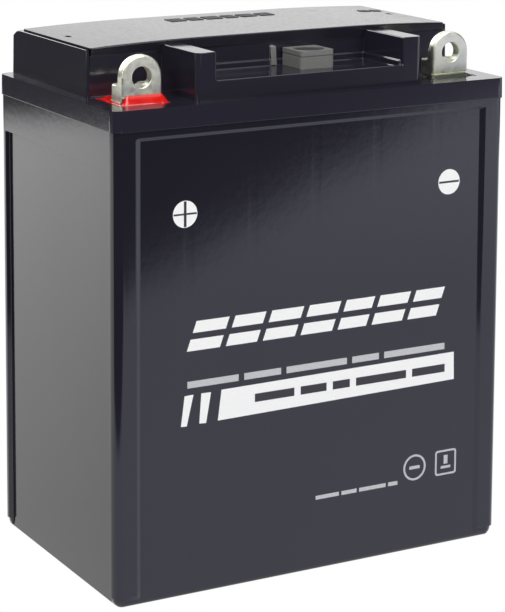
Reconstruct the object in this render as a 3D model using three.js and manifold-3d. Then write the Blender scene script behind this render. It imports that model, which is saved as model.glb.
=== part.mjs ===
// Motorcycle battery, 12 V, valve-regulated, conventional case 134 x 80 x 161 mm.
// Millimetres, +Z up. Origin: centre of the underside of the case.
// +X runs along the 134 mm side towards the negative terminal, the front (terminal side) faces -Y.
import * as THREE from 'three';
import { mergeVertices } from 'three/addons/utils/BufferGeometryUtils.js';
import Module from 'manifold-3d';

const wasm = await Module();
wasm.setup();

// ---------------------------------------------------------------- shared dimensions
// Names ending in _X or _Y with a positive value are half sizes or offsets from the centre.
const LENGTH = 134, WIDTH = 80, HEIGHT = 161;  // over everything
const CASE_INSET = 0.3;                        // case posts inside the lid band, per side
const PANEL_RECESS = 0.65, SIDE_RECESS = 1.3;  // front/back and end panels below the posts
const WALL = 2.6, END_WALL = 2.2, FLOOR = 3;   // case walls behind the panels, case floor
const PARTITION = 1.6, CELLS = 6;
const SEAM_Z = 139.25;                         // joint between case and lid
const CORNER_R = 2.8;                          // vertical corners
const GAP = 0.3;                               // clearance between fitted pieces
const OVER = 1;                                // cutters run past a face by this much
const LAP = 0.5;                               // joined solids sink into each other
const ABOVE = HEIGHT + OVER;                   // top of cutters that open upwards

const LID_TOP = 145.5;                         // top of the edge band
const BLOCK_Y0 = -14.3;                        // front of the raised block
const CHAMBER_Y0 = -11.6;                      // front of the chamber in the block
const BAY_FLOOR = 150.6, LEDGE_W = 0.7;        // front bay, and the plinth along its walls
const COVER_Z = 157.6, COVER_X = 61.6, COVER_Y1 = 33.5;  // vent cover underside and outline
const VALVE_Y = 8, VALVE_PITCH = 20.7;
const SPOUT_R = 5.6, SPOUT_TOP = 152;
const VENT_X = 8.2, GAS_Z = 152.9;             // gas passage from chamber to vent port

const STRAP_X = 9.3, STRAP_Y = 25.5, STRAP_HALF = 5;     // half length, place, half width
const STRAP_Z0 = 116, STRAP_Z1 = 121;
const WELD_Z = 127, WELD_R = 3.4;              // through-welds between cells

const TERMINAL_X = 53.1;                       // terminals stand over the end cells
const BUSH_Y = -STRAP_Y, BUSH_R = 5;
const WELL_X = 52.9, WELL_HALF = 8.3;          // resin well round each terminal
const WELL_Y0 = -32.6, WELL_Y1 = -15.6, WELL_Z = 143.5;

const CASE_X = LENGTH / 2 - CASE_INSET, CASE_Y = WIDTH / 2 - CASE_INSET;
const PANEL_X = CASE_X - SIDE_RECESS, PANEL_Y = CASE_Y - PANEL_RECESS;
const CAVITY_X = PANEL_X - END_WALL, CAVITY_Y = PANEL_Y - WALL;
const PITCH = (2 * CAVITY_X + PARTITION) / CELLS;
const CELL_W = PITCH - PARTITION;

// ---------------------------------------------------------------- helpers
const around = (centre, half) => [centre - half, centre + half];
const times = (count, make) => Array.from({ length: count }, (_, i) => make(i));
const join = (list) => list.reduce((a, b) => a.add(b));
const cut = (body, list) => list.reduce((a, b) => a.subtract(b), body);

const cellX = (i) => (i - (CELLS - 1) / 2) * PITCH;
const valveX = (i) => (i - (CELLS - 1) / 2) * VALVE_PITCH;
const cellSpan = (i, inset = 0) => around(cellX(i), CELL_W / 2 - inset);
// the straps swap front and back from cell to cell, so neighbours meet at the partition
const negativeY = (i) => (i % 2 ? -STRAP_Y : STRAP_Y);

function solid(geometry) {
  const bare = geometry.clone();
  bare.deleteAttribute('normal');
  bare.deleteAttribute('uv');
  const merged = mergeVertices(bare, 1e-4);
  return new wasm.Manifold(new wasm.Mesh({
    numProp: 3,
    vertProperties: new Float32Array(merged.attributes.position.array),
    triVerts: new Uint32Array(merged.index.array),
  }));
}

// each argument is a [low, high] range
function box([x0, x1], [y0, y1], [z0, z1]) {
  return solid(new THREE.BoxGeometry(x1 - x0, y1 - y0, z1 - z0)
    .translate((x0 + x1) / 2, (y0 + y1) / 2, (z0 + z1) / 2));
}

const cylinder = (radius, length, segments) =>
  new THREE.CylinderGeometry(radius, radius, length, segments);
const rod = (radius, z0, z1, x, y, segments = 20) =>
  solid(cylinder(radius, z1 - z0, segments).rotateX(Math.PI / 2).translate(x, y, (z0 + z1) / 2));
const rodX = (radius, length, x, y, z) =>
  solid(cylinder(radius, length, 16).rotateZ(Math.PI / 2).translate(x, y, z));
const rodY = (radius, length, x, y, z, segments) =>
  solid(cylinder(radius, length, segments).translate(x, y, z));

const extrude = (shape, depth, curveSegments) =>
  new THREE.ExtrudeGeometry(shape, { depth, bevelEnabled: false, curveSegments });
const prism = (shape, z0, z1, curveSegments = 6) =>
  solid(extrude(shape, z1 - z0, curveSegments).translate(0, 0, z0));
// a profile drawn in (Y, Z), extruded along X
const prismX = (shape, x0, x1, curveSegments) =>
  solid(extrude(shape, x1 - x0, curveSegments).applyMatrix4(
    new THREE.Matrix4().set(0, 0, 1, x0, 1, 0, 0, 0, 0, 1, 0, 0, 0, 0, 0, 1)));
// stands an (X, Z) profile upright, its extrusion running along -Y from y
const upright = (geometry, y) => geometry.applyMatrix4(
  new THREE.Matrix4().set(1, 0, 0, 0, 0, 0, -1, y, 0, 1, 0, 0, 0, 0, 0, 1));
const prismY = (shape, y0, y1, curveSegments) =>
  solid(upright(extrude(shape, y1 - y0, curveSegments), y1));

const polygon = (points) => new THREE.Shape(points.map(([x, y]) => new THREE.Vector2(x, y)));

// radii: one for all corners, or [front-left, front-right, back-right, back-left]
function roundRect([x0, x1], [y0, y1], radii) {
  const [a, b, c, d] = Array.isArray(radii) ? radii : [radii, radii, radii, radii];
  const shape = new THREE.Shape();
  shape.moveTo(x0 + a, y0);
  shape.lineTo(x1 - b, y0);
  if (b) shape.absarc(x1 - b, y0 + b, b, -Math.PI / 2, 0, false);
  shape.lineTo(x1, y1 - c);
  if (c) shape.absarc(x1 - c, y1 - c, c, 0, Math.PI / 2, false);
  shape.lineTo(x0 + d, y1);
  if (d) shape.absarc(x0 + d, y1 - d, d, Math.PI / 2, Math.PI, false);
  shape.lineTo(x0, y0 + a);
  if (a) shape.absarc(x0 + a, y0 + a, a, Math.PI, 1.5 * Math.PI, false);
  return shape;
}

const root = new THREE.Group();

// body: a manifold solid, or a finished geometry
function addPiece(name, body, material) {
  let geometry = body;
  if (!body.isBufferGeometry) {
    const { vertProperties, triVerts } = body.getMesh();
    geometry = new THREE.BufferGeometry();
    geometry.setAttribute('position',
      new THREE.BufferAttribute(new Float32Array(vertProperties), 3));
    geometry.setIndex(new THREE.BufferAttribute(new Uint32Array(triVerts), 1));
    geometry.computeVertexNormals();
  }
  const mesh = new THREE.Mesh(geometry, material);
  mesh.name = name;
  root.add(mesh);
}

// ---------------------------------------------------------------- materials
const standard = (settings) => new THREE.MeshStandardMaterial(settings);
const blackPlastic = standard({ color: 0x1d1c22, roughness: 0.22, metalness: 0 });
const coverPlastic = standard({ color: 0x201f25, roughness: 0.28, metalness: 0 });
const greyPlastic = standard({ color: 0x76767a, roughness: 0.4, metalness: 0 });
const porous = standard({ color: 0x232228, roughness: 0.95, metalness: 0 });
const lead = standard({ color: 0xb4b3ac, roughness: 0.45, metalness: 1 });
const redEpoxy = standard({ color: 0xd8120c, roughness: 0.25, metalness: 0 });
const blackEpoxy = standard({ color: 0x0d0d0f, roughness: 0.3, metalness: 0 });
const rubber = standard({ color: 0x19191a, roughness: 0.85, metalness: 0 });
const positivePaste = standard({ color: 0x4a2f24, roughness: 0.9, metalness: 0 });
const negativePaste = standard({ color: 0x7c7f83, roughness: 0.85, metalness: 0 });
const glassMat = standard({ color: 0xeeeee8, roughness: 0.95, metalness: 0 });

// ---------------------------------------------------------------- case
// block with every edge rounded, standing on z = 0
function roundedBlock(halfX, halfY, cornerR, edgeR, top) {
  const plan = roundRect(around(0, halfX), around(0, halfY), cornerR);
  return solid(new THREE.ExtrudeGeometry(plan, {
    depth: top - 2 * edgeR, curveSegments: 6,
    bevelEnabled: true, bevelThickness: edgeR, bevelSize: edgeR, bevelOffset: -edgeR,
    bevelSegments: 3,
  }).translate(0, 0, edgeR));
}

// cutter for a panel window with sloping edges, open at the bottom; turn 0 faces -Y
function panelWindow({ half, top, recess, slope, face, turn }) {
  const bottom = -4, outward = 3;
  const x = half - slope, z = top - slope;
  const geometry = new THREE.ExtrudeGeometry(polygon([[-x, bottom], [x, bottom], [x, z], [-x, z]]), {
    depth: outward,
    bevelEnabled: true, bevelThickness: recess, bevelSize: slope, bevelSegments: 1,
  });
  return solid(upright(geometry, -face).rotateZ(turn));
}

// Panel-depth core, four L-shaped corner posts with rounded feet, and a full band under the seam.
function makeCase() {
  const POST_Z0 = 3, FOOT_INSET = 0.6, FOOT_R = 2, FOOT_H = 5;  // posts step in below POST_Z0
  const CORE_CORNER_R = CORNER_R - 0.8, CORE_EDGE_R = 1.1;
  const longSide = {
    half: CASE_X - 7, top: 137.1, recess: PANEL_RECESS, slope: 1.4, face: CASE_Y,
  };
  const end = { half: CASE_Y - 3.7, top: 128, recess: SIDE_RECESS, slope: 0.3, face: CASE_X };

  const core = roundedBlock(PANEL_X, PANEL_Y, CORE_CORNER_R, CORE_EDGE_R, SEAM_Z);
  const outline = roundRect(around(0, CASE_X), around(0, CASE_Y), CORNER_R);
  const feet = roundedBlock(CASE_X - FOOT_INSET, CASE_Y - FOOT_INSET, CORNER_R - FOOT_INSET,
    FOOT_R, POST_Z0 + FOOT_H);
  const body = cut(prism(outline, POST_Z0, SEAM_Z).add(feet), [
    panelWindow({ ...longSide, turn: 0 }),
    panelWindow({ ...longSide, turn: Math.PI }),
    panelWindow({ ...end, turn: Math.PI / 2 }),
    panelWindow({ ...end, turn: -Math.PI / 2 }),
  ]).add(core);
  return cut(body, [
    ...times(CELLS, (i) => box(cellSpan(i), around(0, CAVITY_Y), [FLOOR, SEAM_Z + OVER])),
    // holes in the partitions for the through-welds, back and front in turn
    ...times(CELLS - 1, (i) =>
      rodX(WELD_R + GAP, PARTITION + OVER, cellX(i) + PITCH / 2, negativeY(i), WELD_Z)),
  ]);
}

// ---------------------------------------------------------------- lid
const LID_UNDER = 141.75;                      // underside of the lid deck
const BLOCK_X = 62.8, BLOCK_Y1 = 39.6, BLOCK_TOP = 159.3;
const BACK_R = 5.5;                            // rounded top edge at the back
const BAY_X = 32, PRONG_X = 38.4, BAY_Y0 = -36;  // front bay between the prongs
const BAY_INNER_Y0 = BAY_Y0 + 1.3;             // behind the bay's front rim
const CHAMBER_X = 60, CHAMBER_Y1 = 31;

// a side profile with a rounded top back edge, limited by a plan with rounded corners
function raisedBlock() {
  const side = new THREE.Shape();
  side.moveTo(BLOCK_Y0, LID_TOP - OVER);
  side.lineTo(BLOCK_Y1, LID_TOP - OVER);
  side.lineTo(BLOCK_Y1, BLOCK_TOP - BACK_R);
  side.absarc(BLOCK_Y1 - BACK_R, BLOCK_TOP - BACK_R, BACK_R, 0, Math.PI / 2, false);
  side.lineTo(BLOCK_Y0, BLOCK_TOP);
  const plan = roundRect(around(0, BLOCK_X), [BLOCK_Y0, BLOCK_Y1], [0.8, 0.8, 1.5, 1.5]);
  return prismX(side, -BLOCK_X - OVER, BLOCK_X + OVER, 8)
    .intersect(prism(plan, LID_TOP - 2 * OVER, ABOVE));
}

// prongs, floor with a low rim at the front, plinth along the walls, slim rib on the back wall
function frontBay() {
  const RIM_TOP = 151.3, PRONG_TOP = 159.6, LEDGE_TOP = 152.5;
  const RIB_X = [-1.7, 0.2], RIB_DEPTH = 0.9, RIB_TOP = 156.6;
  const back = BLOCK_Y0 + LAP;
  const plan = roundRect(around(0, PRONG_X), [BAY_Y0, BLOCK_Y0 + 1], [1.4, 1.4, 0, 0]);
  const prongs = cut(prism(plan, LID_TOP - OVER, PRONG_TOP), [
    box(around(0, BAY_X), [BAY_Y0 - OVER, back], [RIM_TOP, ABOVE]),
    box(around(0, BAY_X), [BAY_INNER_Y0, back], [BAY_FLOOR, ABOVE]),
  ]);
  const plinth = box(around(0, BAY_X + LAP), [BAY_INNER_Y0, back], [BAY_FLOOR - LAP, LEDGE_TOP])
    .subtract(box(around(0, BAY_X - LEDGE_W), [BAY_Y0, BLOCK_Y0 - LEDGE_W],
      [BAY_FLOOR, LEDGE_TOP + OVER]));
  const rib = box(RIB_X, [BLOCK_Y0 - RIB_DEPTH, back], [BAY_FLOOR - LAP, RIB_TOP]);
  return [prongs, plinth, rib];
}

// recess for the vent cover, open along the front
function coverSeat() {
  const BACK_GAP = 0.4, FRONT_CUT = 0.25;      // FRONT_CUT: how far the cutter enters the prongs
  const plan = roundRect(around(0, COVER_X + GAP), [BLOCK_Y0 - OVER, COVER_Y1 + BACK_GAP],
    [0, 0, 1.4, 1.4]);
  return prism(plan, COVER_Z, ABOVE).subtract(box(around(0, PRONG_X + OVER),
    [BAY_Y0, BLOCK_Y0 - FRONT_CUT], [COVER_Z - OVER, ABOVE + OVER]));
}

// hollows from below, cell by cell, under the bay and in the back wall of the block
function undersideCores() {
  const SKIN = 2.4, BAY_SKIN = 2.2, BACK_SKIN = 1, CELL_INSET = 1;
  const BAY_CORE_Y1 = CHAMBER_Y0 - 5, BACK_CORE_Y1 = CAVITY_Y - 0.1;
  const core = (i, limit, ySpan, top) => {
    const [x0, x1] = cellSpan(i, CELL_INSET);
    return box([Math.max(x0, SKIN - limit), Math.min(x1, limit - SKIN)], ySpan,
      [LID_UNDER - OVER, top]);
  };
  return [
    // the end cells lie outside the bay
    ...times(CELLS - 2, (k) =>
      core(k + 1, PRONG_X, [BAY_Y0 + SKIN, BAY_CORE_Y1], BAY_FLOOR - BAY_SKIN)),
    ...times(CELLS, (i) =>
      core(i, BLOCK_X, [CHAMBER_Y1 + SKIN, BACK_CORE_Y1], BLOCK_TOP - BACK_R - BACK_SKIN)),
  ];
}

function makeLid() {
  const SPOUT_BORE = 3.2, PASSAGE_R = 1.3, PASSAGE_LENGTH = 4;
  const COLLAR_R = 8.5, COLLAR_Z0 = SEAM_Z + 0.35;
  const RING_SEAT_R = 6.95, RING_SEAT_TOP = 141.5;
  const sides = [-1, 1];

  const outline = roundRect(around(0, LENGTH / 2), around(0, WIDTH / 2), CORNER_R);
  const band = cut(prism(outline, SEAM_Z, LID_TOP),
    times(CELLS, (i) => box(cellSpan(i), around(0, CAVITY_Y), [SEAM_Z - OVER, LID_UNDER])));
  const body = cut(join([band, raisedBlock(), ...frontBay()]), [
    box(around(0, CHAMBER_X), [CHAMBER_Y0, CHAMBER_Y1], [LID_TOP, ABOVE]),
    coverSeat(),
    ...undersideCores(),
  ]);
  // spouts over each cell, collars round the terminal bushings
  const spouts = times(CELLS, (i) => rod(SPOUT_R, LID_TOP - OVER, SPOUT_TOP, valveX(i), VALVE_Y));
  const collars = sides.map((side) =>
    rod(COLLAR_R, COLLAR_Z0, LID_UNDER + LAP, side * TERMINAL_X, BUSH_Y));
  return cut(join([body, ...spouts, ...collars]), [
    ...times(CELLS, (i) =>
      rod(SPOUT_BORE, LID_UNDER - OVER, SPOUT_TOP + OVER, valveX(i), VALVE_Y, 14)),
    ...sides.flatMap((side) => [
      rod(RING_SEAT_R, SEAM_Z - OVER, RING_SEAT_TOP, side * TERMINAL_X, BUSH_Y),
      rod(BUSH_R + GAP, SEAM_Z - OVER, LID_TOP + OVER, side * TERMINAL_X, BUSH_Y),
      box(around(side * WELL_X, WELL_HALF), [WELL_Y0, WELL_Y1], [WELL_Z, LID_TOP + OVER]),
    ]),
    rodY(PASSAGE_R, PASSAGE_LENGTH, VENT_X, (BLOCK_Y0 + CHAMBER_Y0) / 2, GAS_Z, 16),
  ]);
}

// ---------------------------------------------------------------- vent cover
// Crowned plate: flat in the middle, falling to the ends; valve stops below, a slot near each end.
function makeVentCover() {
  const END_TOP = 160, FLAT_X = 24, CROWN_STEPS = 7;
  const STOP_R = 2, STOP_Z = 154.5;
  const SLOT_X = 57.2, SLOT_HALF = 0.6, SLOT_Y = [8.2, 11.6], SLOT_R = 0.55;

  const crownPoint = (side, step) => {
    const t = step / CROWN_STEPS;
    return [side * (FLAT_X + (COVER_X - FLAT_X) * t), HEIGHT - (HEIGHT - END_TOP) * t * t];
  };
  const profile = polygon([
    [-COVER_X, COVER_Z], [COVER_X, COVER_Z],
    ...times(CROWN_STEPS + 1, (k) => crownPoint(1, CROWN_STEPS - k)),
    ...times(CROWN_STEPS + 1, (k) => crownPoint(-1, k)),
  ]);
  const plan = roundRect(around(0, COVER_X), [BLOCK_Y0, COVER_Y1], [0.6, 0.6, 1.1, 1.1]);
  const plate = prismY(profile, BLOCK_Y0 - OVER, COVER_Y1 + OVER, 6)
    .intersect(prism(plan, COVER_Z - OVER, ABOVE));
  const stops = times(CELLS, (i) => rod(STOP_R, STOP_Z, COVER_Z + LAP, valveX(i), VALVE_Y, 8));
  const slots = [-1, 1].map((side) => prism(
    roundRect(around(side * SLOT_X, SLOT_HALF), SLOT_Y, SLOT_R), COVER_Z - OVER, ABOVE, 4));
  return cut(join([plate, ...stops]), slots);
}

// ---------------------------------------------------------------- vent port and flame arrestor
const PORT_Y0 = -26, PORT_Y1 = BLOCK_Y0 - LEDGE_W;
const PORT_Y = (PORT_Y0 + PORT_Y1) / 2;
const ARRESTOR_SEAT_R = 4.75;

function makeVentPort() {
  const HALF = 5.8, CORNER = 1;
  const NECK_INSET = 0.4, NECK_CORNER = 0.8;
  const LOWER_TOP = 154.2, NECK_Z = [154, 154.6], CAP_Z = [154.5, 156];
  const SEAT_Z = 154.35, CUT_TOP = 157;
  const BORE_R = 1.3, BORE_Z0 = 152.2;
  const INLET_R = 1.1, INLET_LENGTH = 8, INLET_Y = PORT_Y1 - 1.9;

  const plan = (inset, corner) => roundRect(
    around(VENT_X, HALF - inset), [PORT_Y0 + inset, PORT_Y1], [corner, corner, 0, 0]);
  return cut(join([
    prism(plan(0, CORNER), BAY_FLOOR, LOWER_TOP),
    prism(plan(NECK_INSET, NECK_CORNER), ...NECK_Z),
    prism(plan(0, CORNER), ...CAP_Z),
  ]), [
    rod(ARRESTOR_SEAT_R, SEAT_Z, CUT_TOP, VENT_X, PORT_Y, 24),
    rod(BORE_R, BORE_Z0, CUT_TOP, VENT_X, PORT_Y, 12),
    rodY(INLET_R, INLET_LENGTH, VENT_X, INLET_Y, GAS_Z, 12),
  ]);
}

function makeFlameArrestor() {
  const THICKNESS = 1.1, CENTRE_Z = 155.1;
  return cylinder(ARRESTOR_SEAT_R - GAP, THICKNESS, 24)
    .rotateX(Math.PI / 2).translate(VENT_X, PORT_Y, CENTRE_Z);
}

// ---------------------------------------------------------------- valve caps
function makeValveCap(i) {
  const RADIUS = 7.1, TOP = 153.5, SKIRT_Z = 146.5, CHAMFER = 0.6;
  // [radius, z]
  const profile = [
    [0, SPOUT_TOP], [SPOUT_R + GAP, SPOUT_TOP], [SPOUT_R + GAP, SKIRT_Z], [RADIUS, SKIRT_Z],
    [RADIUS, TOP - CHAMFER], [RADIUS - CHAMFER, TOP], [0, TOP],
  ].map(([radius, z]) => new THREE.Vector2(radius, z));
  return solid(new THREE.LatheGeometry(profile, 24)
    .rotateX(Math.PI / 2).translate(valveX(i), VALVE_Y, 0));
}

// ---------------------------------------------------------------- terminals
const LUG_HALF = 6.5, LUG_Y0 = -30.3, FOOT_Y1 = -23.5;
const POST_R = 3.6;

// upright flag with a round top, a foot behind it and a bored bushing below
function makeTerminal(x, sealTop) {
  const LUG_T = 3.1, LUG_TOP = 159.4, FOOT_TOP = 150.8, BUSH_Z0 = 138;
  const HOLE_Z = 153, HOLE_D = 6.2, HOLE_LENGTH = 20;
  const ROOT_STEP = 0.5, ROOT_RISE = 0.15;     // flag front cut back to just above the resin
  const bottom = WELL_Z + GAP, arcZ = LUG_TOP - LUG_HALF;
  const [x0, x1] = around(x, LUG_HALF);

  const flag = new THREE.Shape();
  flag.moveTo(x0, bottom);
  flag.lineTo(x1, bottom);
  flag.lineTo(x1, arcZ);
  flag.absarc(x, arcZ, LUG_HALF, 0, Math.PI, false);
  flag.lineTo(x0, bottom);
  const plate = prismY(flag, LUG_Y0, LUG_Y0 + LUG_T, 10).subtract(box(
    [x0 - OVER, x1 + OVER], [LUG_Y0 - OVER, LUG_Y0 + ROOT_STEP], [WELL_Z, sealTop + ROOT_RISE]));
  const foot = box([x0, x1], [LUG_Y0 + LUG_T - LAP, FOOT_Y1], [bottom, FOOT_TOP]);
  const bush = rod(BUSH_R, BUSH_Z0, bottom + 1, x, BUSH_Y);
  return cut(join([plate, foot, bush]), [
    // the hole also grooves the top of the foot
    rodY(HOLE_D / 2, HOLE_LENGTH, x, LUG_Y0, HOLE_Z, 28),
    rod(POST_R + GAP, BUSH_Z0 - OVER, WELL_Z - 0.5, x, BUSH_Y),
  ]);
}

// resin filling the well round the terminal
function makeSeal(side, x, top) {
  const plan = roundRect(around(side * WELL_X, WELL_HALF - GAP),
    [WELL_Y0 + GAP, WELL_Y1 - GAP], 0.6);
  return cut(prism(plan, WELL_Z, top, 3), [
    box(around(x, LUG_HALF + GAP), [LUG_Y0 - GAP, FOOT_Y1 + GAP], [WELL_Z - OVER, top + OVER]),
    rod(BUSH_R + GAP, WELL_Z - OVER, top + OVER, x, BUSH_Y),
  ]);
}

function makeSealRing(x) {
  const RING_R = 5.97, CORD_R = 0.8, RING_Z = 140.6;
  return new THREE.TorusGeometry(RING_R, CORD_R, 6, 20).translate(x, BUSH_Y, RING_Z);
}

function addTerminal(sign, side, sealTop, epoxy) {
  const POST_TOP = 142.5;
  const x = side * TERMINAL_X;
  addPiece(`terminal_${sign}`, makeTerminal(x, sealTop), lead);
  addPiece(`seal_${sign}`, makeSeal(side, x, sealTop), epoxy);
  addPiece(`post_${sign}`, rod(POST_R, STRAP_Z1, POST_TOP, x, BUSH_Y), lead);
  addPiece(`seal_ring_${sign}`, makeSealRing(x), rubber);
}

// ---------------------------------------------------------------- cells
const PLATE_Y = 34.5, PLATE_Z0 = 4, PLATE_Z1 = 108;
const POS_T = 2.4, NEG_T = 1.8, MAT_T = 0.7, STACK_GAP = 0.05;

// X ranges across a cell: N mat P mat N mat P mat N mat P mat N
function stackLayout(centre) {
  const layout = { positive: [], negative: [], mats: [] };
  let x = centre - (4 * NEG_T + 3 * POS_T + 6 * MAT_T + 12 * STACK_GAP) / 2;
  const place = (kind, thickness) => {
    layout[kind].push([x, x + thickness]);
    x += thickness + STACK_GAP;
  };
  for (let k = 0; k < 7; k++) {
    if (k) place('mats', MAT_T);
    if (k % 2) place('positive', POS_T);
    else place('negative', NEG_T);
  }
  return layout;
}

// plates of one sign with their tabs, joined by a strap
function makePlates(spans, centre, y) {
  const strapY = around(y, STRAP_HALF);
  return join([
    ...spans.flatMap((span) => [
      box(span, around(0, PLATE_Y), [PLATE_Z0, PLATE_Z1]),
      box(span, strapY, [PLATE_Z1 - OVER, STRAP_Z0 + OVER]),
    ]),
    box(around(centre, STRAP_X), strapY, [STRAP_Z0, STRAP_Z1]),
  ]);
}

// one mat folded to and fro between the plates, alternately at the back and the front edge
function makeSeparator(mats) {
  const outer = PLATE_Y + 1.1, inner = PLATE_Y + 0.35;  // outside and inside of the folds
  const there = [], back = [];
  for (let k = 0; k < mats.length; k += 2) {
    const [a0, a1] = mats[k], [b0, b1] = mats[k + 1];
    const isLast = k + 2 === mats.length;
    there.push([a0, k ? -inner : -outer], [a0, outer], [b1, outer], [b1, isLast ? -outer : -inner]);
    back.push([a1, -outer], [a1, inner], [b0, inner], [b0, -outer]);
  }
  return prism(polygon([...there, ...back.reverse()]), FLOOR, PLATE_Z1 + 2);
}

function addCell(i) {
  const centre = cellX(i);
  const { positive, negative, mats } = stackLayout(centre);
  const positiveY = -negativeY(i);
  addPiece(`positive_plates_${i + 1}`, makePlates(positive, centre, positiveY), positivePaste);
  addPiece(`negative_plates_${i + 1}`, makePlates(negative, centre, negativeY(i)), negativePaste);
  addPiece(`separator_${i + 1}`, makeSeparator(mats), glassMat);
}

// upright block on the strap each side of a partition, joined by the weld plug through it
function makeConnector(i) {
  const BLOCK_T = 3, BLOCK_HALF = 4.5, BLOCK_Z1 = WELD_Z + 5;
  const x = cellX(i) + PITCH / 2, y = negativeY(i);
  const offset = PITCH / 2 - STRAP_X;          // partition centre to strap end
  const blocks = [-1, 1].map((side) => box(
    around(x + side * (offset + BLOCK_T / 2), BLOCK_T / 2), around(y, BLOCK_HALF),
    [STRAP_Z1, BLOCK_Z1]));
  return join([...blocks, rodX(WELD_R, 2 * (offset + LAP), x, y, WELD_Z)]);
}

// ---------------------------------------------------------------- assembly
addPiece('case', makeCase(), blackPlastic);
addPiece('lid', makeLid(), blackPlastic);
addPiece('vent_cover', makeVentCover(), coverPlastic);
addPiece('vent_port', makeVentPort(), greyPlastic);
addPiece('flame_arrestor', makeFlameArrestor(), porous);
times(CELLS, (i) => addPiece(`valve_cap_${i + 1}`, makeValveCap(i), rubber));
addTerminal('positive', -1, 147, redEpoxy);
addTerminal('negative', 1, 146.1, blackEpoxy);
times(CELLS, addCell);
times(CELLS - 1, (i) => addPiece(`intercell_connector_${i + 1}`, makeConnector(i), lead));

export default root;
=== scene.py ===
import math
import random

import bmesh
import bpy
from mathutils import Matrix, Vector, noise


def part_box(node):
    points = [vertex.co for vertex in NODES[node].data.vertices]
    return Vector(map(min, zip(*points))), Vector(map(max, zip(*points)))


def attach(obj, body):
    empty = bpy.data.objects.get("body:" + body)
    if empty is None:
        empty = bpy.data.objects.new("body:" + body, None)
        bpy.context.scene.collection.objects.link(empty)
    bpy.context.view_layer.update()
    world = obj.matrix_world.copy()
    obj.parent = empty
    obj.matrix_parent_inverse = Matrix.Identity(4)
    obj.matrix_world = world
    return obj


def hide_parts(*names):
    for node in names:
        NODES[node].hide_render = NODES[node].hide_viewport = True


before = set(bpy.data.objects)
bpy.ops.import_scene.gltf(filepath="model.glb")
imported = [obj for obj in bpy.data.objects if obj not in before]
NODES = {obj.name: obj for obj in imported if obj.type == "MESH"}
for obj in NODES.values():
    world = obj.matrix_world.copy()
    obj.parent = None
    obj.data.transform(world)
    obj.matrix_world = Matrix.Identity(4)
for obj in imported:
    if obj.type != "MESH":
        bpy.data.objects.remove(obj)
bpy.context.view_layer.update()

MM = 0.001
SEAM = 0.13925
PANEL_Y = -0.03905
scene = bpy.context.scene


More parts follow.
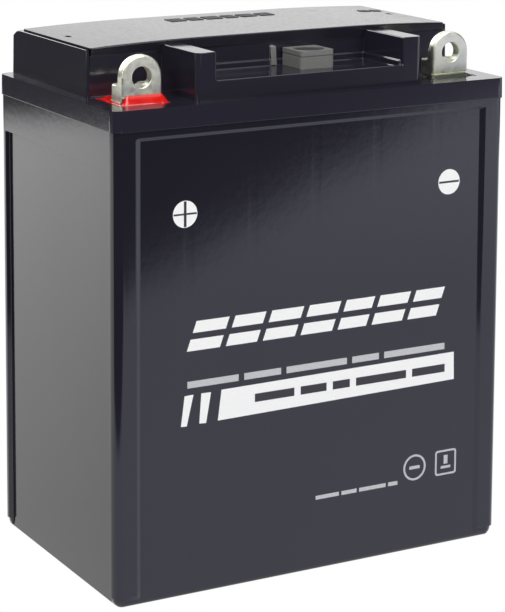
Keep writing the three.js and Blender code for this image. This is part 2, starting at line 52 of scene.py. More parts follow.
# ------------------------------------------------------------------ materials
class Mat:
    """Small helper for a node material."""

    def __init__(self, name):
        self.m = bpy.data.materials.new(name)
        self.m.use_nodes = True
        self.nt = self.m.node_tree
        self.nt.nodes.clear()
        self.out = self.node("ShaderNodeOutputMaterial")
        self.coord = self.node("ShaderNodeTexCoord")

    def node(self, kind, **values):
        n = self.nt.nodes.new(kind)
        for k, v in values.items():
            setattr(n, k, v)
        return n

    def link(self, a, b):
        self.nt.links.new(a, b)

    def vec(self, scale=(1, 1, 1), rot=(0, 0, 0)):
        n = self.node("ShaderNodeMapping")
        n.inputs["Scale"].default_value = scale
        n.inputs["Rotation"].default_value = rot
        self.link(self.coord.outputs["Object"], n.inputs["Vector"])
        return n.outputs[0]

    def noise(self, scale, detail=3.0, rough=0.5, vec=None, distort=0.0):
        n = self.node("ShaderNodeTexNoise")
        n.inputs["Scale"].default_value = scale
        n.inputs["Detail"].default_value = detail
        n.inputs["Roughness"].default_value = rough
        n.inputs["Distortion"].default_value = distort
        self.link(vec or self.coord.outputs["Object"], n.inputs["Vector"])
        return n.outputs["Fac"]

    def voronoi(self, scale, feature="F1", vec=None):
        n = self.node("ShaderNodeTexVoronoi", feature=feature)
        n.inputs["Scale"].default_value = scale
        self.link(vec or self.coord.outputs["Object"], n.inputs["Vector"])
        return n.outputs["Distance"]

    def remap(self, src, a, b, lo, hi, smooth=False):
        n = self.node("ShaderNodeMapRange")
        if smooth:
            n.interpolation_type = "SMOOTHSTEP"
        for k, v in (("From Min", a), ("From Max", b), ("To Min", lo), ("To Max", hi)):
            n.inputs[k].default_value = v
        self.link(src, n.inputs["Value"])
        return n.outputs["Result"]

    def math(self, op, a, b=None, c=None):
        n = self.node("ShaderNodeMath", operation=op)
        for i, v in enumerate((a, b, c)):
            if v is None:
                continue
            if isinstance(v, (int, float)):
                n.inputs[i].default_value = v
            else:
                self.link(v, n.inputs[i])
        return n.outputs[0]

    def mix(self, fac, a, b, kind="RGBA", blend="MIX"):
        n = self.node("ShaderNodeMix", data_type=kind)
        if kind == "RGBA":
            n.blend_type = blend
        idx = {"RGBA": (6, 7, 2), "FLOAT": (2, 3, 0)}[kind]
        for i, v in ((0, fac), (idx[0], a), (idx[1], b)):
            if isinstance(v, (tuple, list)):
                n.inputs[i].default_value = (*v, 1.0)
            elif isinstance(v, (int, float)):
                n.inputs[i].default_value = v
            else:
                self.link(v, n.inputs[i])
        return n.outputs[idx[2]]

    def bump(self, height, distance, strength=1.0, under=None):
        n = self.node("ShaderNodeBump")
        n.inputs["Strength"].default_value = strength
        n.inputs["Distance"].default_value = distance
        self.link(height, n.inputs["Height"])
        if under is not None:
            self.link(under, n.inputs["Normal"])
        return n.outputs["Normal"]

    def principled(self, color, rough, metallic=0.0, ior=1.5, normal=None, coat=0.0, coat_rough=0.1, spec=0.5):
        n = self.node("ShaderNodeBsdfPrincipled")
        for key, v in (("Base Color", color), ("Roughness", rough), ("Metallic", metallic), ("IOR", ior),
                       ("Coat Weight", coat), ("Coat Roughness", coat_rough), ("Specular IOR Level", spec)):
            if isinstance(v, tuple):
                n.inputs[key].default_value = (*v, 1.0)
            elif isinstance(v, (int, float)):
                n.inputs[key].default_value = v
            else:
                self.link(v, n.inputs[key])
        if normal is not None:
            self.link(normal, n.inputs["Normal"])
            if coat:
                self.link(normal, n.inputs["Coat Normal"])
        self.link(n.outputs[0], self.out.inputs["Surface"])
        return n


def worn_edges(m, radius=0.0009):
    """A mask that is high along convex edges, from the bevel normal against the true normal."""
    b = m.node("ShaderNodeBevel", samples=4)
    b.inputs["Radius"].default_value = radius
    g = m.node("ShaderNodeNewGeometry")
    d = m.node("ShaderNodeVectorMath", operation="DOT_PRODUCT")
    m.link(b.outputs[0], d.inputs[0])
    m.link(g.outputs["Normal"], d.inputs[1])
    return m.remap(d.outputs["Value"], 0.995, 0.80, 0.0, 1.0)


def glossy_plastic(name, dark, light, rough, peel=0.000010, wave=0.00012, sinks=False):
    m = Mat(name)
    big = m.noise(18, 2)
    fine = m.noise(900, 3, 0.6)
    grain = m.noise(5200, 2)
    col = m.mix(m.remap(big, 0.3, 0.7, 0, 1), dark, light)
    dust = m.remap(m.noise(2300, 5, 0.75), 0.66, 0.80, 0.0, 0.35)
    col = m.mix(dust, col, (0.060, 0.058, 0.062))
    scuff_v = m.vec((60, 60, 1400), (0.0, 0.35, 0.5))
    scuff = m.remap(m.noise(1.0, 4, 0.65, vec=scuff_v), 0.60, 0.74, 0.0, 1.0)
    r = m.remap(fine, 0.35, 0.65, rough * 0.86, rough * 1.16)
    r = m.math("ADD", r, m.math("MULTIPLY", scuff, 0.045))
    nrm = m.bump(m.noise(22, 1, 0.4), wave)
    if sinks:
        sep = m.node("ShaderNodeSeparateXYZ")
        m.link(m.coord.outputs["Object"], sep.inputs[0])
        # shallow sink marks over the cell partitions
        k = m.math("MULTIPLY", sep.outputs["X"], 2 * math.pi / 0.02133)
        w = m.math("COSINE", k)
        w = m.remap(w, 0.86, 1.0, 0.0, -1.0, smooth=True)
        nrm = m.bump(w, 0.000005, under=nrm)
    nrm = m.bump(m.noise(420, 3, 0.5), peel, under=nrm)
    nrm = m.bump(grain, 0.0000012, under=nrm)
    m.principled(col, r, normal=nrm, ior=1.5)
    return m.m


def lead_alloy(name, bright=(0.89, 0.89, 0.74), cool=(0.75, 0.77, 0.64), rough=0.40, cast=0.00022):
    m = Mat(name)
    n1 = m.noise(120, 4, 0.6)
    n2 = m.noise(700, 4, 0.65)
    col = m.mix(m.remap(n1, 0.35, 0.65, 0, 1), cool, bright)
    tint = m.noise(75, 2, vec=m.vec((1, 1, 1.4), (0.4, 0, 0)))
    col = m.mix(m.remap(tint, 0.55, 0.70, 0, 0.35), col, (0.72, 0.62, 0.60))
    col = m.mix(m.remap(tint, 0.45, 0.30, 0, 0.30), col, (0.58, 0.63, 0.66))
    oxide = m.remap(m.noise(1500, 5, 0.7), 0.58, 0.72, 0.0, 0.5)
    col = m.mix(oxide, col, (0.36, 0.36, 0.33))
    r = m.remap(n2, 0.3, 0.7, rough * 0.75, rough * 1.35)
    nrm = m.bump(m.noise(210, 3, 0.55), cast)
    nrm = m.bump(n2, cast * 0.16, under=nrm)
    m.principled(col, r, metallic=1.0, normal=nrm, ior=1.8)
    return m.m


def epoxy(name, col_a, col_b, rough=0.12):
    m = Mat(name)
    c = m.mix(m.remap(m.noise(260, 2), 0.35, 0.65, 0, 1), col_a, col_b)
    nrm = m.bump(m.noise(150, 2), 0.00018)
    nrm = m.bump(m.noise(1300, 2), 0.000006, under=nrm)
    m.principled(c, m.remap(m.noise(800, 2), 0.3, 0.7, rough * 0.8, rough * 1.4), normal=nrm, ior=1.55)
    return m.m


def matte(name, a, b, scale=900, rough=0.85, bump=0.00003, ior=1.45):
    m = Mat(name)
    n = m.noise(scale, 4, 0.6)
    c = m.mix(m.remap(n, 0.35, 0.65, 0, 1), a, b)
    pits = m.voronoi(scale * 1.4)
    nrm = m.bump(n, bump)
    nrm = m.bump(m.remap(pits, 0.0, 0.5, 0, 1), bump * 0.5, under=nrm)
    m.principled(c, m.remap(n, 0.3, 0.7, rough * 0.92, min(1.0, rough * 1.08)), normal=nrm, ior=ior)
    return m.m


CASE = glossy_plastic("case plastic", (0.0105, 0.0098, 0.0160), (0.0125, 0.0118, 0.0190), 0.10, sinks=True)
LID = glossy_plastic("lid plastic", (0.0165, 0.0156, 0.0250), (0.0190, 0.0182, 0.0290), 0.12)
COVER = glossy_plastic("cover plastic", (0.0105, 0.0100, 0.0150), (0.0130, 0.0124, 0.0180), 0.17, peel=0.000010)
# grey of the vent port; the same material paints the slim lid rib grey as a painted reflection
PORT_GREY_AND_PAINTED_REFLECTION = matte("vent port plastic and painted reflection", (0.165, 0.167, 0.158), (0.200, 0.202, 0.190), 1500, 0.38, 0.000010)
MARKS = matte("raised marks", (0.016, 0.016, 0.020), (0.022, 0.022, 0.026), 1200, 0.55, 0.000012)
POROUS = matte("porous disc", (0.016, 0.016, 0.019), (0.035, 0.034, 0.038), 3600, 0.95, 0.00012)
LEAD = lead_alloy("tinned lead")
CELL_LEAD = lead_alloy("cast lead", (0.42, 0.43, 0.45), (0.33, 0.34, 0.36), 0.55, 0.00015)
RED = epoxy("red sealing resin", (0.60, 0.005, 0.003), (0.68, 0.008, 0.004), 0.12)
BLACK = epoxy("black sealing resin", (0.006, 0.006, 0.007), (0.010, 0.010, 0.011), 0.14)
RUBBER = matte("valve rubber", (0.012, 0.012, 0.012), (0.020, 0.020, 0.020), 2600, 0.72, 0.00002)
POS = matte("positive paste", (0.065, 0.030, 0.018), (0.095, 0.045, 0.026), 1400, 0.92, 0.00006)
NEG = matte("negative paste", (0.19, 0.20, 0.21), (0.25, 0.26, 0.27), 1400, 0.88, 0.00006)
GLASS = matte("glass mat", (0.78, 0.78, 0.74), (0.86, 0.86, 0.83), 2200, 0.97, 0.00010)


def ink(name, a, b, rough=0.42):
    m = Mat(name)
    n = m.noise(3200, 4, 0.7)
    c = m.mix(m.remap(n, 0.42, 0.60, 0, 1), a, b)
    nrm = m.bump(m.noise(900, 3), 0.000006)
    m.principled(c, m.remap(n, 0.3, 0.7, rough * 0.8, rough * 1.2), normal=nrm)
    return m.m


WHITE_INK = ink("white ink", (0.93, 0.93, 0.93), (0.99, 0.99, 0.99))
GREY_INK = ink("grey ink", (0.50, 0.50, 0.52), (0.62, 0.62, 0.64))
DARK_INK = ink("dark ink", (0.020, 0.019, 0.024), (0.028, 0.027, 0.032))


# ------------------------------------------------------------------ mesh helpers
def add(name, mesh, material, body="battery", stands_for=()):
    o = bpy.data.objects.new(name, mesh)
    scene.collection.objects.link(o)
    mesh.materials.clear()
    mesh.materials.append(material)
    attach(o, body)
    if stands_for:
        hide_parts(*stands_for)
    return o


def mark_sharp(mesh, angle=38.0):
    bm = bmesh.new()
    bm.from_mesh(mesh)
    lim = math.radians(angle)
    for f in bm.faces:
        f.smooth = True
    for e in bm.edges:
        e.smooth = not (len(e.link_faces) == 2 and e.calc_face_angle(0.0) > lim)
    bm.to_mesh(mesh)
    bm.free()


def evaluated(obj, name):
    dg = bpy.context.evaluated_depsgraph_get()
    mesh = bpy.data.meshes.new_from_object(obj.evaluated_get(dg))
    mesh.name = name
    return mesh


def finish_mesh(bm, name, width, segments=3, clamp=False, sharp=38.0):
    """Bevels the weighted edges, then fixes the shading normals. Returns a mesh."""
    me = bpy.data.meshes.new(name + " raw")
    bm.to_mesh(me)
    bm.free()
    tmp = bpy.data.objects.new(name + " tmp", me)
    scene.collection.objects.link(tmp)
    b = tmp.modifiers.new("bevel", "BEVEL")
    b.limit_method = "WEIGHT"
    b.width = width
    b.segments = segments
    b.use_clamp_overlap = clamp
    b.miter_outer = "MITER_ARC"
    b.harden_normals = False
    mesh = evaluated(tmp, name)
    bpy.data.objects.remove(tmp)
    bm = bmesh.new()
    bm.from_mesh(mesh)
    bmesh.ops.remove_doubles(bm, verts=bm.verts, dist=1e-6)
    bmesh.ops.dissolve_degenerate(bm, dist=1e-7, edges=bm.edges)
    bmesh.ops.recalc_face_normals(bm, faces=bm.faces)
    bm.to_mesh(mesh)
    bm.free()
    mark_sharp(mesh, sharp)
    tmp = bpy.data.objects.new(name + " tmp", mesh)
    scene.collection.objects.link(tmp)
    w = tmp.modifiers.new("normals", "WEIGHTED_NORMAL")
    w.keep_sharp = True
    w.weight = 80
    out = evaluated(tmp, name)
    bpy.data.objects.remove(tmp)
    return out


def cad_bmesh(node):
    bm = bmesh.new()
    bm.from_mesh(NODES[node].data)
    bmesh.ops.remove_doubles(bm, verts=bm.verts, dist=2e-6)
    bmesh.ops.dissolve_limit(bm, angle_limit=math.radians(0.4), verts=bm.verts, edges=bm.edges)
    return bm


def weigh(bm, rule, min_angle=24.0, convex_only=False, min_len=0.0004):
    """rule(midpoint, edge) gives a bevel weight from 0 to 1."""
    layer = bm.edges.layers.float.get("bevel_weight_edge") or bm.edges.layers.float.new("bevel_weight_edge")
    lim = math.radians(min_angle)
    bm.normal_update()
    for e in bm.edges:
        if len(e.link_faces) != 2 or e.calc_face_angle(0.0) < lim or e.calc_length() < min_len:
            continue
        if convex_only and not e.is_convex:
            continue
        mid = (e.verts[0].co + e.verts[1].co) / 2
        e[layer] = rule(mid, e)


DRAFT = 0.0
CASE_LO, CASE_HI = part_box("case")


def case_draft(co):
    """Moves the sides of the case in towards its foot by DRAFT; DRAFT is zero, so the case does not narrow."""
    t = max(0.0, 1 - co.z / SEAM)
    x, y = co.x, co.y
    if abs(x) > 0.0636:
        x -= math.copysign(DRAFT * t, x)
    if abs(y) > 0.0374:
        y -= math.copysign(DRAFT * t, y)
    return Vector((x, y, co.z))


# ------------------------------------------------------------------ case
def build_case():
    bm = cad_bmesh("case")
    def rule(mid, e):
        outer = abs(mid.x) > 0.0636 or abs(mid.y) > 0.0374 or mid.z < 0.0012
        if not outer:
            return 0.0
        if mid.z > SEAM - 0.0004:
            return 0.45
        if mid.z < 0.0030:
            return 0.0
        return 1.0
    weigh(bm, rule, min_angle=15)
    for v in bm.verts:
        # the step over the front and back panels is steeper than the ones beside the posts
        if 0.1355 < v.co.z < 0.1359 and 0.0388 < abs(v.co.y) < 0.0393:
            v.co.z += 0.0008
        v.co = case_draft(v.co)
    mesh = finish_mesh(bm, "case_shell", 0.00028, 3)
    add("case_shell", mesh, CASE, stands_for=["case"])


# ------------------------------------------------------------------ lid
def lid_draft(co):
    """The band leans in slightly towards its top, and the raised block leans in a little more."""
    x, y, z = co
    if z <= 0.1456:
        t = max(0.0, (z - SEAM) / 0.00625)
        k = 0.00011 * t
        if abs(x) > 0.0659:
            x -= math.copysign(k, x)
        if abs(y) > 0.0390:
            y -= math.copysign(k, y)
    else:
        t = (z - 0.1455) / 0.013
        k = 0.00022 * t
        if abs(x) > 0.0600:
            x -= math.copysign(k, x)
        if y > 0.0385:
            y -= k
    return Vector((x, y, z))


def build_lid():
    bm = cad_bmesh("lid")
    def rule(mid, e):
        x, y, z = abs(mid.x), mid.y, mid.z
        if z < SEAM - 0.0002:
            return 0.0
        if z < SEAM + 0.0002:
            return 0.6 if (x > 0.0635 or abs(y) > 0.037) else 0.0
        if z < 0.1453 and x < 0.0635 and abs(y) < 0.0375:
            # inside the terminal wells and cores
            return 0.0
        inside = x < 0.0598 and -0.0114 < y < 0.0308
        if inside:
            return 0.25 if z > 0.150 else 0.0
        return 1.0
    weigh(bm, rule, min_angle=26)
    for v in bm.verts:
        v.co = lid_draft(v.co)
    mesh = finish_mesh(bm, "lid_moulding", 0.00036, 3)
    add("lid_moulding", mesh, LID, stands_for=["lid"])
    # the slim rib beside the vent port gets the grey port material: a painted reflection, a light patch painted on the
    # black lid
    mesh.materials.append(PORT_GREY_AND_PAINTED_REFLECTION)
    for f in mesh.polygons:
        c = f.center
        if -0.00176 < c.x < 0.00026 and -0.0153 < c.y < -0.01455 and 0.1508 < c.z < 0.1570:
            f.material_index = 1


# ------------------------------------------------------------------ vent cover
MARK_H = 0.00016


def build_marks():
    """Low raised bars moulded on the cover where it carries raised lettering."""
    bm = bmesh.new()
    row, x = [], -16.8
    for w in (5.4, 4.6, 5.6, 4.2, 5.4, 5.0):
        row.append((x + w / 2, 22.6, w / 2, 2.9))
        x += w + 1.4
    row += [(53.1, 18.4, 1.9, 1.6), (57.4, 18.4, 1.7, 1.6)]
    for cx, cy, hw, hh in row:
        def crown(px):
            t = max(0.0, abs(px) - 24) / (61.6 - 24)
            return 0.161 - 0.001 * t * t - MARK_H
        pts = rounded(cx, cy, hw, hh, 0.5, 3)
        top = [bm.verts.new((px * MM, py * MM, crown(px) + MARK_H * 0.9)) for px, py in pts]
        low = [bm.verts.new((px * MM, py * MM, crown(px) - 0.0003)) for px, py in pts]
        bm.faces.new(top)
        bm.faces.new(list(reversed(low)))
        n = len(pts)
        for k in range(n):
            m = (k + 1) % n
            bm.faces.new([top[m], top[k], low[k], low[m]])
    bmesh.ops.recalc_face_normals(bm, faces=bm.faces)
    mesh = bpy.data.meshes.new("cover_marks")
    bm.to_mesh(mesh)
    bm.free()
    mark_sharp(mesh, 30)
    add("cover_marks", mesh, MARKS)


def build_cover():
    bm = cad_bmesh("vent_cover")
    weigh(bm, lambda mid, e: 1.0 if mid.z > 0.158 else 0.0, min_angle=20)
    for v in bm.verts:
        if v.co.z > 0.1595:
            v.co.z -= MARK_H
    mesh = finish_mesh(bm, "vent_cover_plate", 0.00045, 4)
    add("vent_cover_plate", mesh, COVER, stands_for=["vent_cover"])


# ------------------------------------------------------------------ terminals
def build_lug(sign, s):
    bm = cad_bmesh(f"terminal_{sign}")
    lo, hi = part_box(f"terminal_{sign}")
    cx = (lo.x + hi.x) / 2
    def rule(mid, e):
        if mid.z < 0.1455:
            return 0.0
        return 0.3 if math.hypot(mid.x - cx, mid.z - 0.153) < 0.0034 else 1.0
    weigh(bm, rule, min_angle=24)
    mesh = finish_mesh(bm, f"lug_{sign}", 0.00075, 4)
    add(f"lug_{sign}", mesh, LEAD, stands_for=[f"terminal_{sign}"])


def build_seal(sign, s, material, top, crest, edge_top):
    lo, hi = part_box(f"seal_{sign}")
    x0, x1, y0, y1, z0 = lo.x, hi.x, lo.y, hi.y, lo.z
    llo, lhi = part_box(f"terminal_{sign}")
    lx0, lx1 = llo.x - 0.00006, lhi.x + 0.00006
    ly0, ly1 = llo.y - 0.00006, -0.0235 + 0.00006
    nx, ny = 56, 44
    xs = sorted(set([x0 + (x1 - x0) * i / nx for i in range(nx + 1)] + [lx0, lx1]))
    ys = sorted(set([y0 + (y1 - y0) * j / ny for j in range(ny + 1)] + [ly0, ly1]))
    xs = [x for i, x in enumerate(xs) if i == 0 or x - xs[i - 1] > 1e-5 or x in (lx0, lx1)]
    ys = [y for j, y in enumerate(ys) if j == 0 or y - ys[j - 1] > 1e-5 or y in (ly0, ly1)]

    def height(x, y):
        dx = max(lx0 - x, 0, x - lx1)
        dy = max(ly0 - y, 0, y - ly1)
        d = math.hypot(dx, dy)
        # beside the positive lug the pool stays just under the ledge; it only climbs up the front
        q = 1.0
        if s < 0:
            q = min(1.0, max(0.0, (x - lx0 + 0.0003) / 0.0021))
            q = q * q * (3 - 2 * q)
        level = 0.1453 + (top - 0.1453) * q
        h = level + (crest - level) * q * math.exp(-((d / 0.0027) ** 1.7))
        wx = min(1.0, max(0.0, min(x - x0, x1 - x) / 0.0024))
        wy = min(1.0, max(0.0, min(y - y0, y1 - y) / 0.0024))
        wall = math.sin(wx * math.pi / 2) * math.sin(wy * math.pi / 2)
        h = edge_top + (h - edge_top) * wall
        h += 0.00008 * noise.noise(Vector((x * 260, y * 260, s * 3.0)))
        return max(z0 + 0.0003, h)

    bm = bmesh.new()
    tops, bots = {}, {}
    for i, x in enumerate(xs):
        for j, y in enumerate(ys):
            if lx0 + 1e-7 < x < lx1 - 1e-7 and ly0 + 1e-7 < y < ly1 - 1e-7:
                continue
            tops[i, j] = bm.verts.new((x, y, height(x, y)))
            bots[i, j] = bm.verts.new((x, y, z0))
    cells = set()
    for i in range(len(xs) - 1):
        for j in range(len(ys) - 1):
            cx, cy = (xs[i] + xs[i + 1]) / 2, (ys[j] + ys[j + 1]) / 2
            if lx0 < cx < lx1 and ly0 < cy < ly1:
                continue
            cells.add((i, j))
    for i, j in cells:
        a = [(i, j), (i + 1, j), (i + 1, j + 1), (i, j + 1)]
        bm.faces.new([tops[k] for k in a])
        bm.faces.new([bots[k] for k in reversed(a)])
        for (p, q), nb in (((a[0], a[1]), (i, j - 1)), ((a[1], a[2]), (i + 1, j)), ((a[2], a[3]), (i, j + 1)), ((a[3], a[0]), (i - 1, j))):
            if nb not in cells:
                bm.faces.new([tops[p], bots[p], bots[q], tops[q]])
    bmesh.ops.recalc_face_normals(bm, faces=bm.faces)
    mesh = bpy.data.meshes.new(f"resin_{sign}")
    bm.to_mesh(mesh)
    bm.free()
    mark_sharp(mesh, 50)
    add(f"resin_{sign}", mesh, material, stands_for=[f"seal_{sign}"])


# ------------------------------------------------------------------ vent port
def build_port():
    bm = cad_bmesh("vent_port")
    weigh(bm, lambda mid, e: 1.0, min_angle=26)
    mesh = finish_mesh(bm, "vent_port_body", 0.00016, 2)
    add("vent_port_body", mesh, PORT_GREY_AND_PAINTED_REFLECTION, stands_for=["vent_port"])
    bm = cad_bmesh("flame_arrestor")
    weigh(bm, lambda mid, e: 1.0, min_angle=40)
    mesh = finish_mesh(bm, "flame_arrestor_disc", 0.00015, 2)
    add("flame_arrestor_disc", mesh, POROUS, stands_for=["flame_arrestor"])


# ------------------------------------------------------------------ front print
PRINT_T = 0.00005


def print_mesh(name, polygons, material, proud=0.0):
    """Thin closed plates that lie on the front panel. Polygons are lists of (x, z) in mm; one may be (outer, inner)."""
    bm = bmesh.new()
    for poly in polygons:
        ring = None
        if isinstance(poly, tuple):
            poly, ring = poly
        def lay(points, depth):
            return [bm.verts.new(case_draft(Vector((x * MM, PANEL_Y, z * MM))) + Vector((0, depth, 0))) for x, z in points]
        f, b = lay(poly, -PRINT_T - proud), lay(poly, -0.00002 if proud else 0.00012)
        n = len(poly)
        if ring is None:
            bm.faces.new(f)
            bm.faces.new(list(reversed(b)))
        else:
            rf, rb = lay(ring, -PRINT_T), lay(ring, 0.00012)
            for k in range(n):
                m = (k + 1) % n
                bm.faces.new([f[k], f[m], rf[m], rf[k]])
                bm.faces.new([b[m], b[k], rb[k], rb[m]])
                bm.faces.new([rf[k], rf[m], rb[m], rb[k]])
        for k in range(n):
            m = (k + 1) % n
            bm.faces.new([f[m], f[k], b[k], b[m]])
    bmesh.ops.recalc_face_normals(bm, faces=bm.faces)
    mesh = bpy.data.meshes.new(name)
    bm.to_mesh(mesh)
    bm.free()
    mark_sharp(mesh, 30)
    add(name, mesh, material)


def disc(cx, cz, r, n=48):
    return [(cx + r * math.cos(2 * math.pi * k / n), cz + r * math.sin(2 * math.pi * k / n)) for k in range(n)]


def rect(x0, z0, x1, z1, slant=0.0):
    return [(x0, z0), (x1, z0), (x1 + slant, z1), (x0 + slant, z1)]


def rounded(cx, cz, hw, hh, r, n=6):
    pts = []
    for sx, sz, a0 in ((1, 1, 0), (-1, 1, 90), (-1, -1, 180), (1, -1, 270)):
        for k in range(n + 1):
            a = math.radians(a0 + 90 * k / n)
            pts.append((cx + sx * (hw - r) + r * math.cos(a), cz + sz * (hh - r) + r * math.sin(a)))
    return pts


def build_print():
    white = [disc(-43.8, 114.0, 3.95), disc(47.2, 114.75, 3.9),
             [(-32.9, 51.5), (50.3, 52.5), (50.1, 61.2), (-31.7, 60.6)],
             [(-45.1, 51.35), (-43.2, 51.25), (-41.0, 60.45), (-43.9, 60.35)],
             [(-39.05, 51.5), (-36.8, 51.35), (-35.2, 60.4), (-38.4, 60.45)]]
    # plain slanted pairs of bars where the maker's word would be
    word, x = [], -43.2
    for w in (10.9, 10.4, 10.9, 10.9, 10.0, 10.9, 10.4):
        word.append(rect(x, 73.5, x + w, 76.9, 1.25))
        word.append(rect(x + 1.95, 78.8, x + w + 1.95, 82.2, 1.25))
        x += w + 2.0
    # plain rules where lines of lettering would be
    fine, x = [], -43.0
    for w in (17.0, 12.5, 21.0, 9.5, 22.0):
        fine.append(rect(x, 62.5, x + w, 64.5))
        x += w + 1.9
    small, x = [], 0.8
    for w in (8.2, 5.4, 9.6, 3.4):
        small.append(rect(x, 21.9, x + w, 23.1))
        x += w + 0.9
    # two generic pictograms: a ring and a rounded frame
    icons = [(disc(36.3, 26.4, 4.1), disc(36.3, 26.4, 3.45)), (rounded(47.8, 26.3, 3.9, 4.0, 0.9), rounded(47.8, 26.3, 3.3, 3.4, 0.5)),
             rect(34.4, 25.9, 38.2, 26.9), rect(46.0, 24.4, 49.6, 25.2), rect(47.1, 25.8, 48.5, 28.6)]
    # dark dashes on the white band
    dark, x = [], -20.5
    for w in (13.5, 9.0, 6.0, 18.0, 12.0):
        dark.append(rect(x, 55.3, x + w, 57.8))
        x += w + 2.2
    print_mesh("print_dashes", dark, DARK_INK, 0.00003)
    print_mesh("print_white", white, WHITE_INK)
    print_mesh("print_blocks", word, WHITE_INK)
    print_mesh("print_rules", fine + small + icons, GREY_INK)


def build_polarity():
    """Plus and minus slots, dark, just proud of the white discs."""
    bm = bmesh.new()
    def plate(cx, cz, hw, hh):
        pts = [(cx - hw, cz - hh), (cx + hw, cz - hh), (cx + hw, cz + hh), (cx - hw, cz + hh)]
        f = [bm.verts.new(case_draft(Vector((x * MM, PANEL_Y, z * MM))) + Vector((0, -0.00008, 0))) for x, z in pts]
        b = [bm.verts.new(case_draft(Vector((x * MM, PANEL_Y, z * MM))) + Vector((0, -0.00002, 0))) for x, z in pts]
        bm.faces.new(f)
        bm.faces.new(list(reversed(b)))
        for k in range(4):
            m = (k + 1) % 4
            bm.faces.new([f[m], f[k], b[k], b[m]])
    plate(-43.8, 114.0, 3.75, 0.26)
    plate(47.2, 114.75, 3.6, 0.30)
    plate(-43.8, 114.0 + 2.0, 0.42, 1.74)
    plate(-43.8, 114.0 - 2.0, 0.42, 1.74)
    bmesh.ops.recalc_face_normals(bm, faces=bm.faces)
    mesh = bpy.data.meshes.new("print_polarity")
    bm.to_mesh(mesh)
    bm.free()
    add("print_polarity", mesh, DARK_INK)


# ------------------------------------------------------------------ build all
build_case()
build_lid()
build_cover()
build_lug("positive", -1)
build_lug("negative", 1)
build_seal("positive", -1, RED, 0.1462, 0.1482, 0.1454)
build_seal("negative", 1, BLACK, 0.1456, 0.1463, 0.1454)
build_port()
build_print()
build_polarity()
build_marks()

INSIDE = {
    "post_": (CELL_LEAD, "cell_lead"), "seal_ring_": (RUBBER, "valve_rubber"), "valve_cap_": (RUBBER, "valve_rubber"),
    "positive_plates_": (POS, "positive_paste"), "negative_plates_": (NEG, "negative_paste"),
    "separator_": (GLASS, "glass_mat"), "intercell_connector_": (CELL_LEAD, "cell_lead"),
}
for n, o in sorted(NODES.items()):
    for prefix, (material, slot) in INSIDE.items():
        if n.startswith(prefix):
            o.data.materials.clear()
            o.data.materials.append(material)
            for p in o.data.polygons:
                p.use_smooth = False
            if prefix in ("valve_cap_", "post_", "intercell_connector_"):
                b = o.modifiers.new("edges", "BEVEL")
                b.width = 0.0003
                b.segments = 2
                b.limit_method = "ANGLE"
                b.angle_limit = math.radians(40)


# ------------------------------------------------------------------ stage, light, camera
def stage_material():
    m = Mat("studio floor")
    path = m.node("ShaderNodeLightPath")
    geo = m.node("ShaderNodeNewGeometry")
    sep = m.node("ShaderNodeSeparateXYZ")
    m.link(geo.outputs["Position"], sep.inputs[0])
    X, Y = sep.outputs["X"], sep.outputs["Y"]
    # in front: painted light that glows only in reflections, a painted pool of light like lit paper that ends along a
    # slanting line, painted dark room beyond
    s = m.math("ADD", m.math("MULTIPLY", m.math("SUBTRACT", X, 0.1039), 0.6381),
               m.math("MULTIPLY", m.math("SUBTRACT", Y, -0.3659), 0.7699))
    lit = m.remap(s, -0.020, 0.020, 0.0, 1.0, smooth=True)
    far = m.remap(Y, -0.25, -0.62, 1.0, 1.45, smooth=True)
    front = m.math("ADD", m.math("MULTIPLY", lit, far), 0.085)
    # behind on the left: painted light, brighter further away, up to where the paper ends
    dx = m.math("ADD", X, 0.065)
    d = m.math("SQRT", m.math("ADD", m.math("MULTIPLY", dx, dx), m.math("MULTIPLY", Y, Y)))
    grow = m.remap(d, 0.05, 0.75, 1.12, 2.08)
    stop = m.remap(d, 0.72, 0.84, 1.0, 0.05, smooth=True)
    back = m.math("MULTIPLY", grow, stop)
    side = m.math("GREATER_THAN", Y, -0.042)
    glossy = m.mix(side, front, back, kind="FLOAT")
    cam = path.outputs["Is Camera Ray"]
    glo = path.outputs["Is Glossy Ray"]
    level = m.mix(glo, 0.55, glossy, kind="FLOAT")
    level = m.mix(cam, level, 1.0, kind="FLOAT")
    e = m.node("ShaderNodeEmission")
    # painted light: in reflections, the floor in front of the battery glows with a cool tint
    cool = m.math("MULTIPLY", glo, m.math("SUBTRACT", 1.0, side))
    m.link(m.mix(cool, (1.0, 1.0, 1.0), (0.93, 0.93, 1.14)), e.inputs["Color"])
    m.link(level, e.inputs["Strength"])
    m.link(e.outputs[0], m.out.inputs["Surface"])
    return m.m


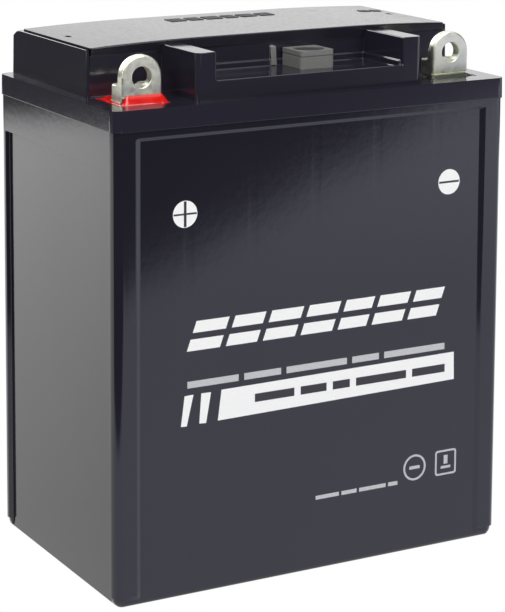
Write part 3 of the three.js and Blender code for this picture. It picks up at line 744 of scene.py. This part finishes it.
def build_stage():
    me = bpy.data.meshes.new("studio_floor")
    r = 6.0
    me.from_pydata([(-r, -r, -0.0001), (r, -r, -0.0001), (r, r, -0.0001), (-r, r, -0.0001)], [], [(0, 1, 2, 3)])
    me.materials.append(stage_material())
    o = bpy.data.objects.new("studio_floor", me)
    scene.collection.objects.link(o)

    w = bpy.data.worlds.new("studio")
    scene.world = w
    w.use_nodes = True
    nt = w.node_tree
    nt.nodes.clear()
    def N(kind, **kw):
        n = nt.nodes.new(kind)
        for k, v in kw.items():
            setattr(n, k, v)
        return n
    out = N("ShaderNodeOutputWorld")
    path = N("ShaderNodeLightPath")
    coord = N("ShaderNodeTexCoord")
    sep = N("ShaderNodeSeparateXYZ")
    nt.links.new(coord.outputs["Generated"], sep.inputs[0])
    def rng(src, a, b, lo, hi):
        n = N("ShaderNodeMapRange", interpolation_type="SMOOTHSTEP")
        for k, v in (("From Min", a), ("From Max", b), ("To Min", lo), ("To Max", hi)):
            n.inputs[k].default_value = v
        nt.links.new(src, n.inputs["Value"])
        return n.outputs[0]
    def mth(op, a, b):
        n = N("ShaderNodeMath", operation=op)
        for i, v in enumerate((a, b)):
            if isinstance(v, (int, float)):
                n.inputs[i].default_value = v
            else:
                nt.links.new(v, n.inputs[i])
        return n.outputs[0]
    back = rng(sep.outputs["Y"], 0.10, 0.45, 0.0, 1.0)
    low = mth("MULTIPLY", rng(sep.outputs["Z"], 0.015, 0.06, 0.0, 1.0), rng(sep.outputs["Z"], 0.22, 0.55, 1.0, 0.12))
    side = rng(sep.outputs["X"], -0.40, -0.22, 0.10, 1.0)
    over = mth("MULTIPLY", rng(sep.outputs["Z"], 0.70, 0.82, 0.0, 1.0), 2.2)
    sky = mth("ADD", mth("MULTIPLY", mth("MULTIPLY", mth("MULTIPLY", back, low), side), 1.60), over)
    # a lamp behind on the left, seen only as thin lines in the rounded edges
    toward = mth("ADD", mth("ADD", mth("MULTIPLY", sep.outputs["X"], -0.20), mth("MULTIPLY", sep.outputs["Y"], 0.883)),
                 mth("MULTIPLY", sep.outputs["Z"], 0.424))
    lamp = mth("MULTIPLY", rng(toward, 0.955, 0.985, 0.0, 1.0), 9.0)
    glossy = mth("ADD", mth("ADD", sky, lamp), 0.055)
    g = mth("ADD", mth("MULTIPLY", path.outputs["Is Glossy Ray"], glossy),
            mth("MULTIPLY", mth("SUBTRACT", 1.0, path.outputs["Is Glossy Ray"]), 0.30))
    c = mth("ADD", mth("MULTIPLY", path.outputs["Is Camera Ray"], 1.0),
            mth("MULTIPLY", mth("SUBTRACT", 1.0, path.outputs["Is Camera Ray"]), g))
    bg = N("ShaderNodeBackground")
    nt.links.new(c, bg.inputs["Strength"])
    nt.links.new(bg.outputs[0], out.inputs[0])

    def area(name, loc, target, size, size_y, power, color=(1, 1, 1)):
        l = bpy.data.lights.new(name, "AREA")
        l.shape = "RECTANGLE"
        l.size, l.size_y = size, size_y
        l.energy = power
        l.color = color
        ob = bpy.data.objects.new(name, l)
        ob.location = loc
        ob.rotation_mode = "QUATERNION"
        ob.rotation_quaternion = (Vector(target) - Vector(loc)).to_track_quat("-Z", "Y")
        scene.collection.objects.link(ob)
        return ob

    area("softbox_top", (-0.15, -0.35, 1.35), (0, 0, 0.1), 0.9, 0.9, 11.0)
    area("softbox_left", (-1.15, -0.55, 0.75), (0, 0, 0.12), 0.5, 0.9, 6.0)
    area("softbox_front", (0.35, -1.45, 0.85), (0, 0, 0.12), 0.8, 0.8, 10.0)


build_stage()

CAM_LOC = (-0.33324, -0.57669, 0.24981)
RIGHT, UP, BACK_V = (0.891284, -0.453441, -0.001968), (0.064076, 0.121651, 0.990503), (-0.448895, -0.882945, 0.13748)
cam_data = bpy.data.cameras.new("camera")
camera = bpy.data.objects.new("camera", cam_data)
scene.collection.objects.link(camera)
rot = Matrix((RIGHT, UP, BACK_V)).transposed()
camera.rotation_mode = "QUATERNION"
camera.rotation_quaternion = rot.to_quaternion()
camera.location = CAM_LOC
cam_data.lens = 128.5614
cam_data.sensor_width = 36.0
cam_data.sensor_fit = "AUTO"
cam_data.clip_start, cam_data.clip_end = 0.01, 50.0
# the lens shift belongs to this one viewpoint: it falls back to none when the camera stands anywhere else
for prop, value in (("shift_x", 0.19294), ("shift_y", -0.43968)):
    d = cam_data.driver_add(prop).driver
    d.type = "SCRIPTED"
    for vn, idx in (("px", 0), ("py", 1)):
        v = d.variables.new()
        v.name = vn
        v.type = "SINGLE_PROP"
        v.targets[0].id = camera
        v.targets[0].data_path = f"location[{idx}]"
    d.expression = f"{value} if abs(px + 0.33324) + abs(py + 0.57669) < 0.0001 else 0.0"
scene.camera = camera

scene.view_settings.view_transform = "Standard"
scene.view_settings.look = "None"
scene.view_settings.exposure = 0.0
scene.view_settings.gamma = 1.0
